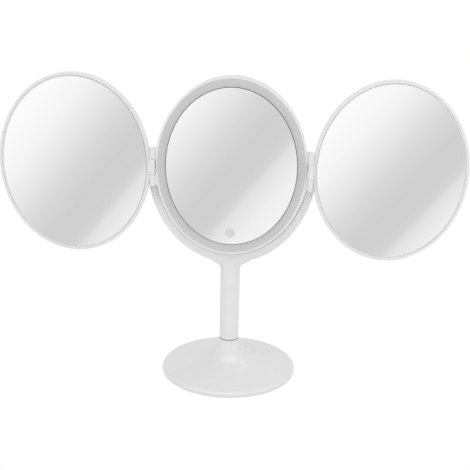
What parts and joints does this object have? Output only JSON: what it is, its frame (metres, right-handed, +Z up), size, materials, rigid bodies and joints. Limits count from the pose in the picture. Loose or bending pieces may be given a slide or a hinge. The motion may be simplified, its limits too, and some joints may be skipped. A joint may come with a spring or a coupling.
{
  "type": "trifold vanity mirror",
  "caption": "Free-standing lit vanity mirror: an oval mirror in a tilting yoke with a hinged oval mirror wing at each side, on a stem that swivels in a round weighted base.",
  "frame": {"origin": "centre of the base's underside, on the surface that the mirror stands on and on the stem's axis", "axes": "+X to the right wing as seen from the front, +Y from the front to the back, +Z up the stem; the mirrors face -Y"},
  "size_m": [0.4912, 0.15, 0.3318],
  "materials": {
    "white_gloss": "gloss white moulding",
    "inner_white": "plain moulded white",
    "diffuser": "milky translucent, light off",
    "silvered_glass": "polished silvered glass",
    "black_seal": "matte black bead",
    "foam_tape": "adhesive foam",
    "touch_grey": "printed pale grey",
    "steel": "zinc plated",
    "brass": "turned and knurled",
    "iron": "raw casting",
    "foot_rubber": "matte",
    "acetal": "natural acetal",
    "dark_washer": "matte black",
    "board_green": "solder mask",
    "board_white": "white solder mask",
    "led_yellow": "phosphor under clear lens, light off",
    "chip_black": "moulded package",
    "cell_jacket": "printed steel can",
    "spring_steel": "nickel plated",
    "lead_red": "insulated wire"
  },
  "bodies": {
    "base": {"base_shell": "white_gloss", "base_cover": "inner_white", "base_cover_screws": "steel", "foot_ring": "foot_rubber", "ballast_plate": "iron", "swivel_bush": "acetal", "joint_washer": "dark_washer", "friction_washer": "dark_washer"},
    "stand": {"yoke_and_stem": "white_gloss", "yoke_covers": "white_gloss", "yoke_cover_screws": "steel", "stem_core": "steel", "swivel_spigot": "steel", "retaining_washer": "steel", "retaining_screw": "steel", "pivot_caps": "white_gloss"},
    "head": {"front_frame": "white_gloss", "left_hinge_pin": "steel", "right_hinge_pin": "steel", "centre_mirror": "silvered_glass", "mirror_seal": "black_seal", "diffuser_ring": "diffuser", "mirror_tape": "foam_tape", "touch_mark": "touch_grey", "touch_spring": "spring_steel", "mirror_carrier": "inner_white", "light_channel": "inner_white", "led_board": "board_white", "leds": "led_yellow", "control_board": "board_green", "board_screws": "steel", "board_components": "chip_black", "battery_leads": "lead_red", "led_leads": "lead_red", "battery_box": "inner_white", "battery_cells": "cell_jacket", "contact_plates": "spring_steel", "contact_springs": "spring_steel", "rear_shell": "white_gloss", "battery_door": "white_gloss", "door_screw": "steel", "shell_screws": "steel", "pivot_inserts": "brass", "pivot_screws": "steel", "pivot_washers": "acetal"},
    "left_wing": {"left_wing_tray": "white_gloss", "left_wing_mirror": "silvered_glass", "left_wing_tape": "foam_tape", "left_wing_back": "white_gloss"},
    "right_wing": {"right_wing_tray": "white_gloss", "right_wing_mirror": "silvered_glass", "right_wing_tape": "foam_tape", "right_wing_back": "white_gloss"}
  },
  "joints": [
    {"name": "stem_swivel", "type": "hinge", "parent": "base", "child": "stand", "pos_m": [0, 0, 0.03], "axis": [0, 0, 1], "range_deg": [-90, 90]},
    {"name": "head_tilt", "type": "hinge", "parent": "stand", "child": "head", "pos_m": [0, 0, 0.2368], "axis": [-1, 0, 0], "range_deg": [-5, 30]},
    {"name": "left_wing_hinge", "type": "hinge", "parent": "head", "child": "left_wing", "pos_m": [-0.0828, -0.0204, 0.2361], "axis": [0, 0, 1], "range_deg": [0, 180]},
    {"name": "right_wing_hinge", "type": "hinge", "parent": "head", "child": "right_wing", "pos_m": [0.0828, -0.0247, 0.2361], "axis": [0, 0, -1], "range_deg": [0, 180]}
  ]
}
